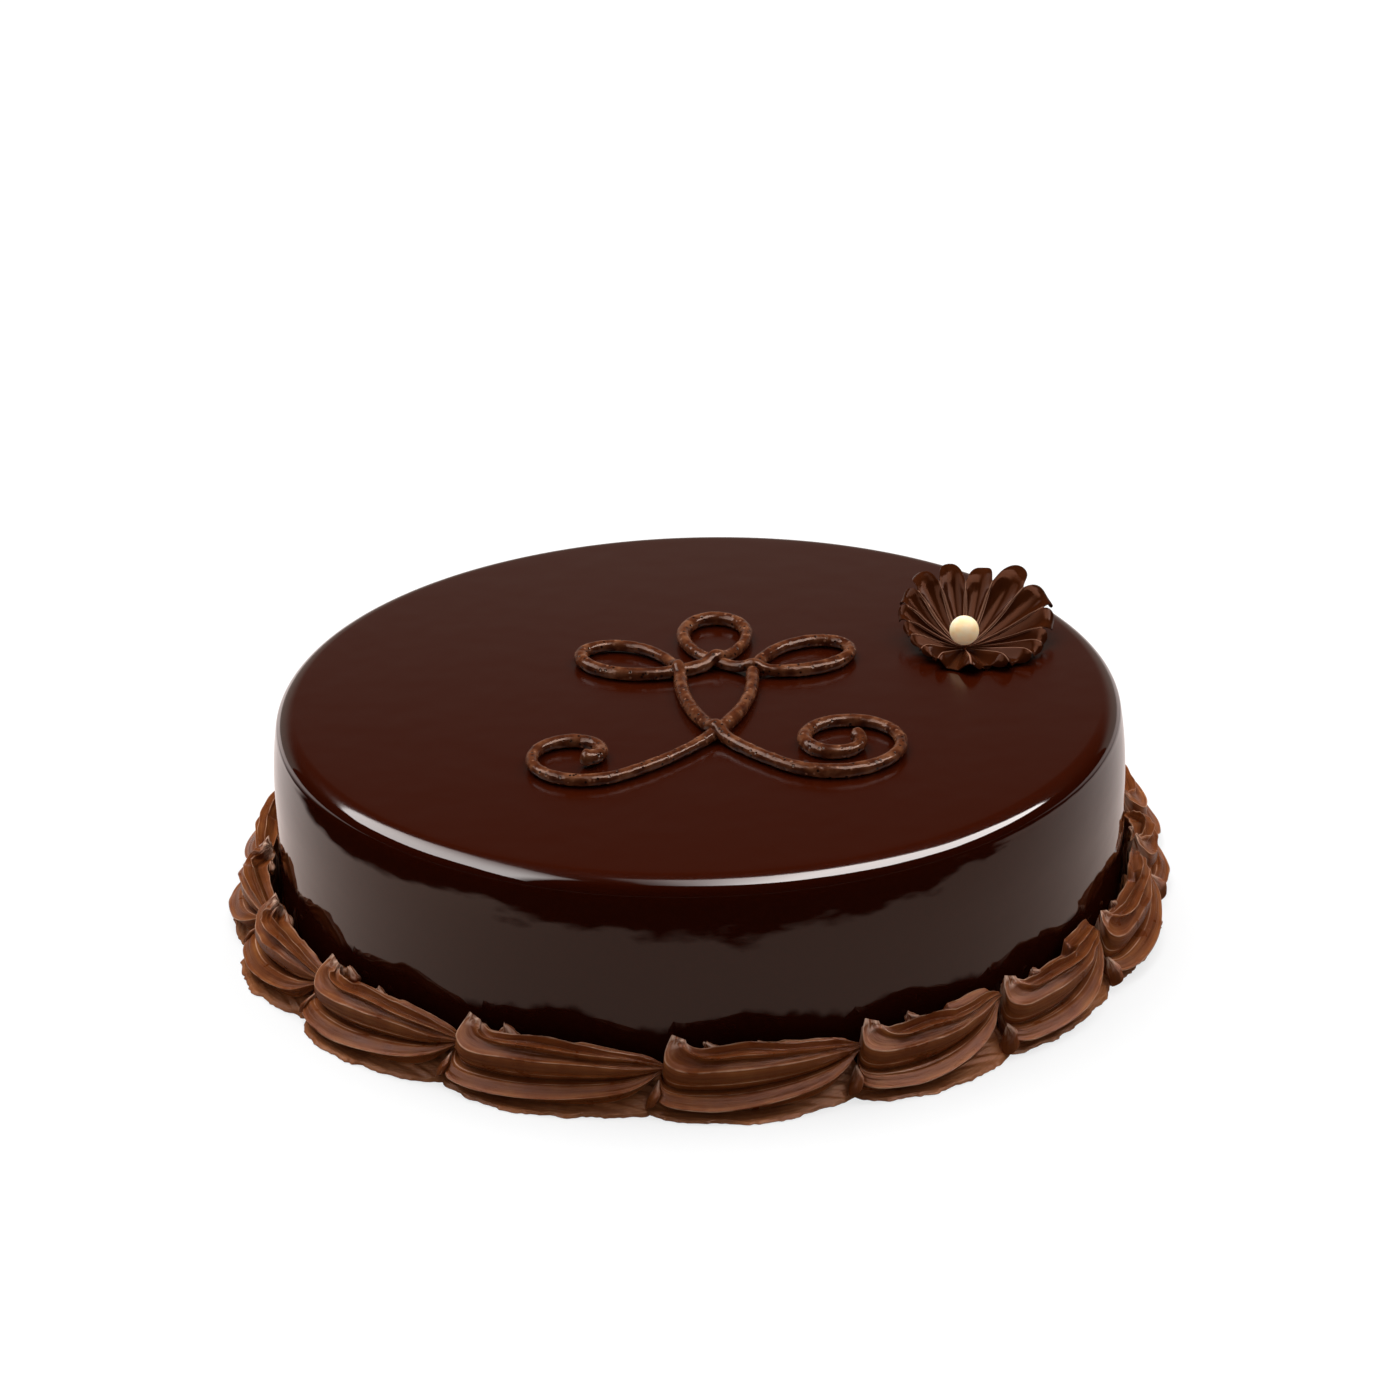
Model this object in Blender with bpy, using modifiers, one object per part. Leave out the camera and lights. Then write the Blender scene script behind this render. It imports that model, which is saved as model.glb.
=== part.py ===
# Round chocolate mousse cake: glazed body, piped shell border on a thin
# smeared foot, a piped scroll, a ruffled chocolate fan and one sugar pearl.
# Metres, +Z up, the cake's centre on the origin, seen from -Y.
import bmesh
import bpy
import numpy as np

mm = 0.001

# ---- driving sizes, in millimetres --------------------------------------
cake_radius = 101.3        # straight wall
cake_height = 52.3         # flat top
shoulder_radius = 4.75     # tight round at the top edge
lean_start = 37.0          # the wall starts to lean in here
lean_in = 1.05             # how far it has leaned in at the shoulder
cake_steps = 80

gap = 0.3                  # air between neighbouring pieces

foot_inner = cake_radius + gap
foot_thick = 1.15
foot_steps = 112

# heads of the sixteen piped shells, degrees from +X, counter-clockwise;
# the ten on the near side are measured, the rest are spaced unevenly
shell_heads = [179.3, 196.0, 215.6, 239.8, 266.0, 290.4, 311.7, 333.4, 355.6,
               370.2, 395.2, 418.6, 443.4, 467.1, 491.9, 515.2]
shell_fat = [1.00, 1.02, 1.04, 1.02, 1.00, 0.99, 0.93, 0.88, 0.92,
             1.20, 0.96, 1.00, 0.95, 1.03, 0.94, 1.10]
shell_lift = [1.00, 0.98, 1.00, 0.99, 1.02, 1.00, 0.99, 1.01, 0.95,
              0.88, 0.97, 1.01, 1.04, 0.98, 1.01, 0.86]
foot_belly = [114.4, 115.8, 116.2, 115.8, 115.4, 115.4, 112.7, 112.2, 112.3,
              115.6, 113.2, 114.8, 113.4, 115.1, 113.2, 115.0]   # foot radius under each
foot_join = [10.0, 9.6, 9.0, 8.8, 9.6, 7.8, 8.5, 7.8, 9.0, 9.4,
             9.8, 9.2, 10.2, 9.5, 9.0, 9.9]    # beyond the wall, before each head
shell_pitch = 43.0         # length the crest table is drawn for
shell_rings = 14
flute_cuts = [1, 1, 2, 3, 4, 1, 2]   # points along each crest-to-crest span

# crest lines of one shell: run along the wall, reach out from it, height
crest_run = [
    [1.2, 2.4, 4.2, 8.0, 14.0, 22.0, 31.0, 37.9],
    [1.0, 2.6, 5.0, 9.0, 16.0, 24.0, 32.0, 38.6],
    [0.5, 2.0, 5.0, 9.0, 16.5, 25.0, 33.0, 39.1],
    [0.2, 0.6, 3.0, 8.0, 16.0, 25.0, 33.0, 39.4],
    [-0.4, -1.9, -2.3, 1.5, 12.0, 23.0, 32.5, 39.4],
    [-0.7, -2.8, -4.5, -2.6, 7.5, 20.5, 32.0, 39.1],
    [-0.5, -2.4, -3.9, -2.2, 7.5, 20.5, 31.5, 38.6]]
crest_out = [
    [1.6, 0.8, 0.4, 0.3, 0.3, 0.3, 1.0, 3.0],
    [2.8, 2.6, 2.8, 3.2, 3.6, 3.4, 3.2, 3.8],
    [3.6, 4.8, 5.6, 6.4, 7.0, 6.4, 5.4, 4.7],
    [3.4, 5.0, 7.0, 8.0, 8.4, 7.8, 6.5, 5.0],
    [3.0, 4.2, 6.4, 8.4, 9.3, 8.7, 7.0, 5.2],
    [2.2, 4.0, 7.6, 10.6, 12.4, 12.1, 9.8, 5.2],
    [1.9, 3.2, 5.8, 8.2, 9.6, 9.6, 8.0, 4.7]]
crest_up = [
    [11.0, 6.0, 2.4, 1.45, 1.45, 1.45, 2.4, 7.8],
    [15.5, 13.6, 12.6, 12.8, 13.6, 12.9, 11.6, 10.2],
    [16.4, 15.5, 14.65, 14.9, 15.8, 14.4, 12.4, 10.45],
    [16.2, 14.7, 13.2, 12.95, 13.5, 13.0, 11.7, 10.2],
    [15.8, 13.7, 11.35, 9.95, 10.3, 10.85, 10.5, 9.8],
    [14.0, 8.4, 4.9, 3.3, 2.9, 3.9, 5.8, 9.1],
    [12.6, 5.2, 1.6, 1.45, 1.45, 1.45, 2.8, 8.3]]
crest_at = [0.0, 0.08, 0.18, 0.30, 0.46, 0.63, 0.81, 1.0]
flute_sag = [0.0, 0.5, 0.8, 1.1, 1.9, 0.0, 0.0]     # depth of each flute

scroll_width = 3.5
scroll_lift = cake_height + gap

flower_at = (67.6, 21.5)
flower_reach = 19.0
flower_folds = 13
flower_thick = 0.9

pearl_diameter = 7.1
pearl_at = (64.5, 20.6)


# ---- helpers -------------------------------------------------------------
for old in list(bpy.data.objects):
    bpy.data.objects.remove(old, do_unlink=True)

scene = bpy.context.scene
parts = bpy.data.collections.new("mousse_cake")
scene.collection.children.link(parts)
cutters = bpy.data.collections.new("cutters")
scene.collection.children.link(cutters)


def food_colour(name, rgb, rough):
    mat = bpy.data.materials.new(name)
    mat.use_nodes = True
    shader = mat.node_tree.nodes["Principled BSDF"]
    shader.inputs["Base Color"].default_value = (*rgb, 1.0)
    shader.inputs["Roughness"].default_value = rough
    mat.diffuse_color = (*rgb, 1.0)
    return mat


glaze = food_colour("mirror_glaze", (0.045, 0.012, 0.006), 0.08)
ganache = food_colour("whipped_ganache", (0.120, 0.046, 0.022), 0.45)
piping = food_colour("piped_cocoa_gel", (0.160, 0.070, 0.040), 0.30)
chocolate = food_colour("dark_milk_chocolate", (0.060, 0.020, 0.010), 0.28)
sugar = food_colour("sugar_pearl", (0.820, 0.700, 0.520), 0.30)


def solid(name, points, faces, mat, home=parts):
    mesh = bpy.data.meshes.new(name)
    mesh.from_pydata([tuple(p) for p in np.asarray(points) * mm], [], faces)
    mesh.validate()
    mesh.materials.append(mat)
    obj = bpy.data.objects.new(name, mesh)
    home.objects.link(obj)
    return obj


def loft(rings):
    # rings: array (ring, point, xyz) of closed loops, with a fan on each end
    count, around = rings.shape[:2]
    points = rings.reshape(-1, 3)
    k, j = np.meshgrid(np.arange(count - 1), np.arange(around), indexing="ij")
    n = (j + 1) % around
    quads = np.stack([k * around + j, k * around + n,
                      (k + 1) * around + n, (k + 1) * around + j], -1).reshape(-1, 4)
    faces = [tuple(int(i) for i in q) for q in quads]
    ends = np.stack([rings[0].mean(0), rings[-1].mean(0)])
    first, last = len(points), len(points) + 1
    for i in range(around):
        faces.append((first, (i + 1) % around, i))
        faces.append((last, (count - 1) * around + i, (count - 1) * around + (i + 1) % around))
    return np.vstack([points, ends]), faces


def eased(at, values, where):
    # a smooth line through the table's values (Hermite, slopes from neighbours)
    at, values = np.asarray(at, float), np.asarray(values, float)
    slope = np.gradient(values, at)
    k = np.clip(np.searchsorted(at, where, side="right") - 1, 0, len(at) - 2)
    span = at[k + 1] - at[k]
    t = (where - at[k]) / span
    return ((2 * t**3 - 3 * t**2 + 1) * values[k] + (t**3 - 2 * t**2 + t) * span * slope[k]
            + (3 * t**2 - 2 * t**3) * values[k + 1] + (t**3 - t**2) * span * slope[k + 1])


# ---- glazed body ---------------------------------------------------------
turn = np.radians(np.linspace(90.0, 6.0, 7))
rim = cake_radius - lean_in - shoulder_radius
profile = [(0.0, cake_height), (rim * 0.6, cake_height)]
profile += [(rim + shoulder_radius * np.cos(a), cake_height - shoulder_radius * (1 - np.sin(a)))
            for a in turn]
profile += [(cake_radius - lean_in * 0.42, 43.4), (cake_radius - lean_in * 0.1, lean_start + 3.0),
            (cake_radius, lean_start - 3.0), (cake_radius, 0.0), (0.0, 0.0)]
outline = bpy.data.meshes.new("cake")
outline.from_pydata([(r * mm, 0.0, z * mm) for r, z in profile], [],
                    [])
outline.edges.add(len(profile) - 1)
outline.edges.foreach_set("vertices", [i for k in range(len(profile) - 1) for i in (k, k + 1)])
outline.materials.append(glaze)
cake = bpy.data.objects.new("cake", outline)
parts.objects.link(cake)
spin = cake.modifiers.new("turned", "SCREW")
spin.axis = "Z"
spin.angle = 2 * np.pi
spin.steps = spin.render_steps = cake_steps
spin.use_merge_vertices = True
spin.merge_threshold = 0.00005


# ---- piped shell border --------------------------------------------------
def shell_points(head, pitch, fat, lift):
    # a shell is lofted through seven crest lines that start together at the
    # head's tip and meet again at the tail; between two crests it sags inward
    u = np.linspace(0.0, 1.0, shell_rings) ** 1.15
    lines = []
    for run, out, up in zip(crest_run, crest_out, crest_up):
        a = eased(crest_at, run, u)
        a = a + (pitch - shell_pitch) * np.clip((a - 3.0) / 35.0, 0, 1)
        b = eased(crest_at, out, u)
        c = eased(crest_at, up, u)
        b = 0.3 + (b - 0.3) * fat
        c = 1.45 + (c - 1.45) * lift
        lines.append(np.stack([a, np.maximum(b, 0.3), np.maximum(c, 1.45)], -1))
    lines = np.stack(lines)                                    # crest, ring, abc
    heart = lines.mean(0)
    loops = []
    fade = np.clip(u / 0.16, 0, 1) * np.clip((1 - u) / 0.25, 0.15, 1)
    for k, cuts in enumerate(flute_cuts):
        here, after = lines[k], lines[(k + 1) % len(lines)]
        for i in range(cuts):
            w = i / cuts
            point = here * (1 - w) + after * w
            inward = heart - point
            inward[:, 0] = 0.0
            inward /= np.maximum(np.linalg.norm(inward, axis=1, keepdims=True), 1e-6)
            sag = flute_sag[k] * (4 * w * (1 - w)) ** 0.8 * fade
            loops.append(point + inward * sag[:, None])
    grid = np.stack(loops, 1)                                  # ring, point, abc
    angle = np.radians(head) + grid[..., 0] / (cake_radius + 4.0)
    reach = cake_radius + np.maximum(grid[..., 1], 0.3)
    return np.stack([reach * np.cos(angle), reach * np.sin(angle),
                     np.maximum(grid[..., 2], 1.45)], -1)


count = len(shell_heads)
for i in range(count):
    nxt = shell_heads[(i + 1) % count] + (360.0 if i + 1 == count else 0.0)
    pitch = np.radians(nxt - shell_heads[i]) * (cake_radius + 4.0)
    rings = shell_points(shell_heads[i], pitch, shell_fat[i], shell_lift[i])
    points, faces = loft(rings)
    solid(f"shell_{i + 1:02d}", points, faces, ganache)

# ---- smeared foot under the shells --------------------------------------
theta = np.linspace(0, 2 * np.pi, foot_steps, endpoint=False)
heads = np.radians(np.array(shell_heads) % 360.0)
rank = np.argsort(heads)
order = heads[rank]
before = np.searchsorted(order, theta, side="right") - 1
start = order[before]
stop = order[(before + 1) % count] + np.where(before + 1 >= count, 2 * np.pi, 0)
start = np.where(before < 0, start - 2 * np.pi, start)
share = (theta - start) / (stop - start) + 0.10
here = (before + (share >= 1.0)) % count
share = share % 1.0
join = np.array(foot_join)[rank]
level = join[here] + (join[(here + 1) % count] - join[here]) * share
ragged = 0.35 * np.sin(23 * theta + 1.0) + 0.3 * np.sin(37 * theta + 0.4)
belly = np.array(foot_belly)[rank][here] - cake_radius - (join[here] + join[(here + 1) % count]) / 2
edge = cake_radius + level + belly * np.sin(np.pi * share ** 0.85) ** 0.7 + ragged
ring = np.stack([
    np.stack([foot_inner + 0 * theta, 0 * theta], -1),
    np.stack([edge - 0.4, 0 * theta], -1),
    np.stack([edge, 0.45 + 0 * theta], -1),
    np.stack([edge - 1.3, foot_thick + 0 * theta], -1),
    np.stack([foot_inner + 0 * theta, foot_thick + 0 * theta], -1)], 1)
grid = np.stack([ring[..., 0] * np.cos(theta)[:, None], ring[..., 0] * np.sin(theta)[:, None],
                 ring[..., 1]], -1)
around = grid.shape[1]
faces = []
for k in range(foot_steps):
    for j in range(around):
        a, b = k * around + j, k * around + (j + 1) % around
        c = ((k + 1) % foot_steps) * around + (j + 1) % around
        d = ((k + 1) % foot_steps) * around + j
        faces.append((a, d, c, b))
solid("cream_foot", grid.reshape(-1, 3), faces, ganache)


# ---- piped scroll --------------------------------------------------------
def bend(a, b, c, d, n):
    t = np.linspace(0, 1, n)[:, None]
    return (1 - t)**3 * a + 3 * (1 - t)**2 * t * b + 3 * (1 - t) * t * t * c + t**3 * d


def curl(centre, outer, inner, start, sweep, n):
    u = np.linspace(0, 1, n)
    angle = np.radians(start + sweep * u)
    r = outer + (inner - outer) * u ** 0.85
    return np.stack([centre[0] + r * np.cos(angle), centre[1] + r * np.sin(angle)], 1)


def unit(v):
    return v / np.hypot(*v)


t = np.radians(np.linspace(0, 180, 181))                 # three small loops
knot = np.stack([4.5 + 22.5 * (np.cos(t) - 0.62 * np.cos(5 * t)),
                 4.0 + 22.5 * (np.sin(t) + 0.62 * np.sin(5 * t))], 1)
right = curl((33.0, -32.0), 18.5, 3.0, 215.0, 545.0, 120)
left = curl((-28.0, -36.5), 15.5, 3.0, -40.0, -400.0, 90)
go, leave = unit(knot[1] - knot[0]), unit(knot[-1] - knot[-2])
down_right = bend(knot[-1], knot[-1] + leave * 22, right[0] - unit(right[1] - right[0]) * 14,
                  right[0], 40)
down_left = bend(left[0], left[0] - unit(left[1] - left[0]) * 22, knot[0] - go * 20, knot[0], 40)
line = np.vstack([left[::-1], down_left[1:], knot[1:], down_right[1:], right[1:]])
step = np.hypot(*np.diff(line, axis=0).T)
along = np.concatenate([[0], np.cumsum(step)])
even = np.linspace(0, along[-1], int(along[-1] / 3.3))
line = np.stack([np.interp(even, along, line[:, 0]), np.interp(even, along, line[:, 1])], 1)


def crossings(path):
    found = []
    for i in range(len(path) - 1):
        p, r = path[i], path[i + 1] - path[i]
        q, s = path[i + 2:-1], path[i + 3:] - path[i + 2:-1]
        if len(q) == 0:
            continue
        cross = r[0] * s[:, 1] - r[1] * s[:, 0]
        cross = np.where(abs(cross) < 1e-9, 1e-9, cross)
        gap_ = q - p
        ti = (gap_[:, 0] * s[:, 1] - gap_[:, 1] * s[:, 0]) / cross
        tj = (gap_[:, 0] * r[1] - gap_[:, 1] * r[0]) / cross
        for k in np.nonzero((ti >= 0) & (ti < 1) & (tj >= 0) & (tj < 1))[0]:
            found.append((i + ti[k], i + 2 + k + tj[k]))
    return found


# the line passes under itself at each crossing, so it is cut there and the
# pieces, whose ends are buried in the strand on top, are joined into one
cuts = sorted(second for first, second in crossings(line))
pieces, begin = [], 0.0
for cut in cuts + [len(line) - 1.0]:
    inside = np.arange(int(np.ceil(begin + 0.4)), int(np.floor(cut - 0.4)) + 1)
    index = np.concatenate([[begin + 0.15 * (begin > 0)], inside,
                            [cut - 0.15 * (cut < len(line) - 1.0)]])
    pieces.append(np.stack([np.interp(index, np.arange(len(line)), line[:, 0]),
                            np.interp(index, np.arange(len(line)), line[:, 1])], 1))
    begin = cut


def strand(name, path, thin_start, thin_end, home):
    # a piped line: a poly curve with a round bevel, thinned where it is buried
    run = np.concatenate([[0], np.cumsum(np.hypot(*np.diff(path, axis=0).T))])
    thick = (1.0 - thin_start * np.exp(-(run / 2.6) ** 2)
             - thin_end * np.exp(-((run[-1] - run) / 2.6) ** 2))
    data = bpy.data.curves.new(name, "CURVE")
    data.dimensions = "3D"
    data.bevel_depth = scroll_width / 2 * mm
    data.bevel_resolution = 2
    data.use_fill_caps = True
    spline = data.splines.new("POLY")
    spline.points.add(len(path) - 1)
    height = (scroll_lift + scroll_width / 2) * mm
    for point, (x, y), size in zip(spline.points, path, thick):
        point.co = (x * mm, y * mm, height, 1.0)
        point.radius = size
    guide = bpy.data.objects.new(name + "_curve", data)
    home.objects.link(guide)
    ready = guide.evaluated_get(bpy.context.evaluated_depsgraph_get())
    mesh = bpy.data.meshes.new_from_object(ready)
    bpy.data.objects.remove(guide, do_unlink=True)
    work = bmesh.new()
    work.from_mesh(mesh)
    bmesh.ops.remove_doubles(work, verts=work.verts, dist=0.00001)
    work.to_mesh(mesh)
    work.free()
    mesh.name = name
    mesh.materials.clear()
    mesh.materials.append(piping)
    obj = bpy.data.objects.new(name, mesh)
    home.objects.link(obj)
    return obj


last = len(pieces) - 1
strands = [strand("scroll" if k == 0 else f"strand_{k}", path, 0.25 if k == 0 else 0.22,
                  0.25 if k == last else 0.22, parts if k == 0 else cutters)
           for k, path in enumerate(pieces)]
for other in strands[1:]:
    other.hide_render = True
    other.display_type = "WIRE"
    join = strands[0].modifiers.new(other.name, "BOOLEAN")
    join.operation = "UNION"
    join.solver = "EXACT"
    join.object = other

# ---- ruffled chocolate fan ----------------------------------------------
phi = np.linspace(0, 2 * np.pi, flower_folds * 5, endpoint=False)
rows = np.linspace(0, 1, 7)
s, p = np.meshgrid(rows, phi, indexing="ij")
back = 0.5 + 0.5 * np.sin(p)                               # 1 behind, 0 in front
reach = (2.6 + (flower_reach - 2.6) * s) * (1.0 - 0.10 * (1 - back) * s)
rise = (1.9 + 8.9 * back ** 0.9) * s ** 1.15
ruffle = (0.15 + 1.35 * s ** 1.2) * np.cos(flower_folds * p + 0.7 * np.sin(2 * p))
upper = np.stack([flower_at[0] - 2.0 * (1 - s) + reach * np.cos(p),
                  flower_at[1] - 1.0 * (1 - s) + reach * np.sin(p) * 0.80,
                  cake_height + gap + flower_thick + 1.5 * s ** 0.8 + rise + ruffle + 0.15], -1)
lower = upper.copy()
lower[..., 2] -= flower_thick * (1.0 + 0.5 * s)
wide = len(phi)
sheet = np.vstack([upper.reshape(-1, 3), lower.reshape(-1, 3),
                   [upper[0].mean(0)], [lower[0].mean(0)]])
low, mid_up, mid_low = 7 * wide, 14 * wide, 14 * wide + 1
faces = []
for j in range(wide):
    n = (j + 1) % wide
    for k in range(6):
        a, b, c, d = k * wide + j, (k + 1) * wide + j, (k + 1) * wide + n, k * wide + n
        faces.append((a, b, c, d))
        faces.append((low + d, low + c, low + b, low + a))
    faces.append((6 * wide + j, low + 6 * wide + j, low + 6 * wide + n, 6 * wide + n))
    faces.append((mid_up, j, n))
    faces.append((mid_low, low + n, low + j))
solid("flower", sheet, faces, chocolate)

# ---- sugar pearl ---------------------------------------------------------
bpy.ops.mesh.primitive_uv_sphere_add(
    segments=18, ring_count=10, radius=pearl_diameter / 2 * mm,
    location=(pearl_at[0] * mm, pearl_at[1] * mm,
              (cake_height + gap + flower_thick + 0.6 + pearl_diameter / 2) * mm))
pearl = bpy.context.active_object
pearl.name = "pearl"
pearl.data.materials.append(sugar)
for home in list(pearl.users_collection):
    home.objects.unlink(pearl)
parts.objects.link(pearl)

for obj in parts.objects:
    obj.data.shade_smooth()
    obj.data.set_sharp_from_angle(angle=np.radians(38))
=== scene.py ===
import math
import bpy
import numpy as np
from mathutils import Matrix


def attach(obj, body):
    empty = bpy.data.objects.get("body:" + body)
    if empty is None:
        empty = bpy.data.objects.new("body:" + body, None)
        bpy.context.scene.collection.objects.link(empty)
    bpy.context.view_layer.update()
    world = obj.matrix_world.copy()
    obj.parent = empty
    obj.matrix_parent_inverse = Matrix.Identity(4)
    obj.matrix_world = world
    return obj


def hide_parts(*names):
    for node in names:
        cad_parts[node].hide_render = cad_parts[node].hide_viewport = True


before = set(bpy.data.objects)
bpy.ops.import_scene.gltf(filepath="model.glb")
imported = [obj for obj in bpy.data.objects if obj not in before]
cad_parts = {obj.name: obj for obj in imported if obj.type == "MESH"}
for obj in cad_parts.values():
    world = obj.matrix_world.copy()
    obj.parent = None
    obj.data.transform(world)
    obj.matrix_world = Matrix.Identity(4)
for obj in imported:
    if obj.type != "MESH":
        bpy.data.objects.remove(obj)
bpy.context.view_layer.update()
scene = bpy.context.scene
mm = 0.001
smooth = {"interpolation_type": "SMOOTHSTEP"}


def linearColour(text):
    # an sRGB hex value as the linear red, green, blue and alpha that nodes take
    srgb = np.array([int(text[i:i + 2], 16) for i in (0, 2, 4)]) / 255
    linear = np.where(srgb <= 0.04045, srgb / 12.92, ((srgb + 0.055) / 1.055) ** 2.4)
    return (*map(float, linear), 1.0)


def plug(tree, node, links):
    # links maps a node's input to the output it reads, or to a node, which
    # stands for that node's first output
    for key, source in links.items():
        tree.links.new(getattr(source, "outputs", [source])[0], node.inputs[key])


def addNode(tree, kind, settings=None, links=None):
    # one node with its settings and links; text on an input is a hex colour,
    # and stops are a colour ramp's places and hex colours
    node = tree.nodes.new("ShaderNode" + kind)
    for key, value in (settings or {}).items():
        if key == "stops":
            band = node.color_ramp.elements
            while len(band) < len(value):
                band.new(0.5)
            for item, (place, colour) in zip(band, value):
                item.position = place
                item.color = linearColour(colour)
        elif isinstance(key, str) and hasattr(node, key):
            setattr(node, key, value)
        else:
            node.inputs[key].default_value = linearColour(value) if isinstance(value, str) else value
    plug(tree, node, links or {})
    return node


def newMaterial(name, **sockets):
    mat = bpy.data.materials.new(name)
    mat.use_nodes = True
    tree = mat.node_tree
    shader = tree.nodes["Principled BSDF"]
    for key, value in sockets.items():
        shader.inputs[key.replace("_", " ")].default_value = value
    return mat, tree, shader


def emptyMaterial(name):
    mat = bpy.data.materials.new(name)
    mat.use_nodes = True
    mat.node_tree.nodes.clear()
    return mat, mat.node_tree


def turned(ring, angle, height):
    # points at a radius, an angle about Z and a height
    return np.stack(np.broadcast_arrays(ring * np.cos(angle), ring * np.sin(angle), height), -1)


def circle(count):
    # evenly spaced angles, once round
    return np.linspace(0, 2 * np.pi, count, endpoint=False)


def roughField(x, y, seed, wrap=256):
    # value noise from 0 to 1: a seeded square of random numbers read between
    # its four nearest entries with eased weights; x repeats every wrap cells
    table = np.random.default_rng(seed).random((256, 256))
    i, j = np.floor(x).astype(int), np.floor(y).astype(int)
    p, q = x - i, y - j
    p, q = p * p * (3 - 2 * p), q * q * (3 - 2 * q)
    i0, i1, j0, j1 = i % wrap, (i + 1) % wrap, j % 256, (j + 1) % 256
    return ((table[i0, j0] * (1 - p) + table[i1, j0] * p) * (1 - q)
            + (table[i0, j1] * (1 - p) + table[i1, j1] * p) * q)


def easeStep(low, high, x):
    t = np.clip((x - low) / (high - low), 0, 1)
    return t * t * (3 - 2 * t)


def eased(at, values, where):
    # a smooth line through a table's values (Hermite, slopes from neighbours)
    at, values = np.asarray(at, float), np.asarray(values, float)
    slope = np.gradient(values, at)
    k = np.clip(np.searchsorted(at, where, side="right") - 1, 0, len(at) - 2)
    span = at[k + 1] - at[k]
    t = (where - at[k]) / span
    return ((2 * t**3 - 3 * t**2 + 1) * values[k] + (t**3 - 2 * t**2 + t) * span * slope[k]
            + (3 * t**2 - 2 * t**3) * values[k + 1] + (t**3 - t**2) * span * slope[k + 1])


def gridFaces(rows, columns, closedRows=False):
    # quads between neighbouring rows and columns of a grid of points, whose
    # columns close on themselves, and each corner's row and column
    i, j = np.meshgrid(np.arange(rows if closedRows else rows - 1), np.arange(columns), indexing="ij")
    a, b = i * columns + j, i * columns + (j + 1) % columns
    step = (i + 1) % rows
    c, d = step * columns + (j + 1) % columns, step * columns + j
    quads = np.stack([a, b, c, d], -1).reshape(-1, 4)
    places = np.stack([np.stack([i, i, i + 1, i + 1], -1), np.stack([j, j + 1, j + 1, j], -1)], -1)
    return quads, places.reshape(-1, 4, 2)


def loftBody(grid, acrossAt=None, alongAt=None):
    # a closed body from a grid (ring, point, xyz): each ring is a loop, and
    # both ends are shut by a fan on the ring's middle; returns points, quads,
    # triangles and each corner's grain coordinates, in millimetres where the
    # caller gives them
    rings, around = grid.shape[:2]
    quads, places = gridFaces(rings, around)
    if acrossAt is None:
        acrossAt = np.arange(around + 1) / around * 10
    if alongAt is None:
        alongAt = np.arange(rings) / rings * 10
    grain = np.stack([np.asarray(alongAt)[places[..., 0]], np.asarray(acrossAt)[places[..., 1]]], -1)
    first, last = rings * around, rings * around + 1
    j = np.arange(around)
    n = (j + 1) % around
    far = (rings - 1) * around
    fans = np.vstack([np.stack([first + 0 * j, n, j], -1),
                      np.stack([last + 0 * j, far + j, far + n], -1)])
    across = np.asarray(acrossAt)
    startGrain = np.stack([np.full((around, 3), alongAt[0]),
                           np.stack([across[j], across[j + 1], across[j]], -1)], -1)
    endGrain = np.stack([np.full((around, 3), alongAt[-1]),
                         np.stack([across[j], across[j], across[j + 1]], -1)], -1)
    points = np.vstack([grid.reshape(-1, 3), grid[0].mean(0), grid[-1].mean(0)])
    return points, quads, fans, grain, np.vstack([startGrain, endGrain])


def makePiece(name, bodies, mat):
    # one mesh from several closed bodies, in millimetres, turned outwards if
    # a body's signed volume is negative
    points, sizes, corners, grain = [], [], [], []
    base = 0
    for pts, quads, tris, quadGrain, triGrain in bodies:
        halves = np.vstack([quads[:, [0, 1, 2]], quads[:, [0, 2, 3]], tris])
        volume = np.einsum("ij,ij->i", pts[halves[:, 0]],
                           np.cross(pts[halves[:, 1]], pts[halves[:, 2]])).sum()
        turn = slice(None, None, -1) if volume < 0 else slice(None)
        points.append(pts)
        corners += [(quads[:, turn] + base).ravel(), (tris[:, turn] + base).ravel()]
        grain += [quadGrain[:, turn].reshape(-1, 2), triGrain[:, turn].reshape(-1, 2)]
        sizes += [np.full(len(quads), 4), np.full(len(tris), 3)]
        base += len(pts)
    points, sizes = np.vstack(points) * mm, np.concatenate(sizes)
    corners, grain = np.concatenate(corners), np.vstack(grain)
    mesh = bpy.data.meshes.new(name)
    mesh.vertices.add(len(points))
    mesh.vertices.foreach_set("co", points.ravel())
    mesh.loops.add(len(corners))
    mesh.loops.foreach_set("vertex_index", corners.astype(np.int32))
    mesh.polygons.add(len(sizes))
    mesh.polygons.foreach_set("loop_start", np.concatenate([[0], np.cumsum(sizes)[:-1]]).astype(np.int32))
    mesh.update(calc_edges=True)
    mesh.validate()
    layer = mesh.uv_layers.new(name="grain")
    layer.data.foreach_set("uv", grain.ravel())
    mesh.polygons.foreach_set("use_smooth", np.ones(len(sizes), bool))
    mesh.materials.append(mat)
    piece = bpy.data.objects.new(name, mesh)
    scene.collection.objects.link(piece)
    return piece


def fit(piece, slot, *cadNodes):
    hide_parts(*cadNodes)
    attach(piece, "root")


# the camera, solved from the cake's two ellipses, in degrees, metres and the
# picture's pixels, with the sensor in mm
view = {"down": 24.36, "roll": -1.44, "away": 1.1, "aim": 0.0523, "focal": 4636.5,
        "centreX": 697.9, "centreY": 692.5, "pixels": 1400, "sensor": 36}


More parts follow.
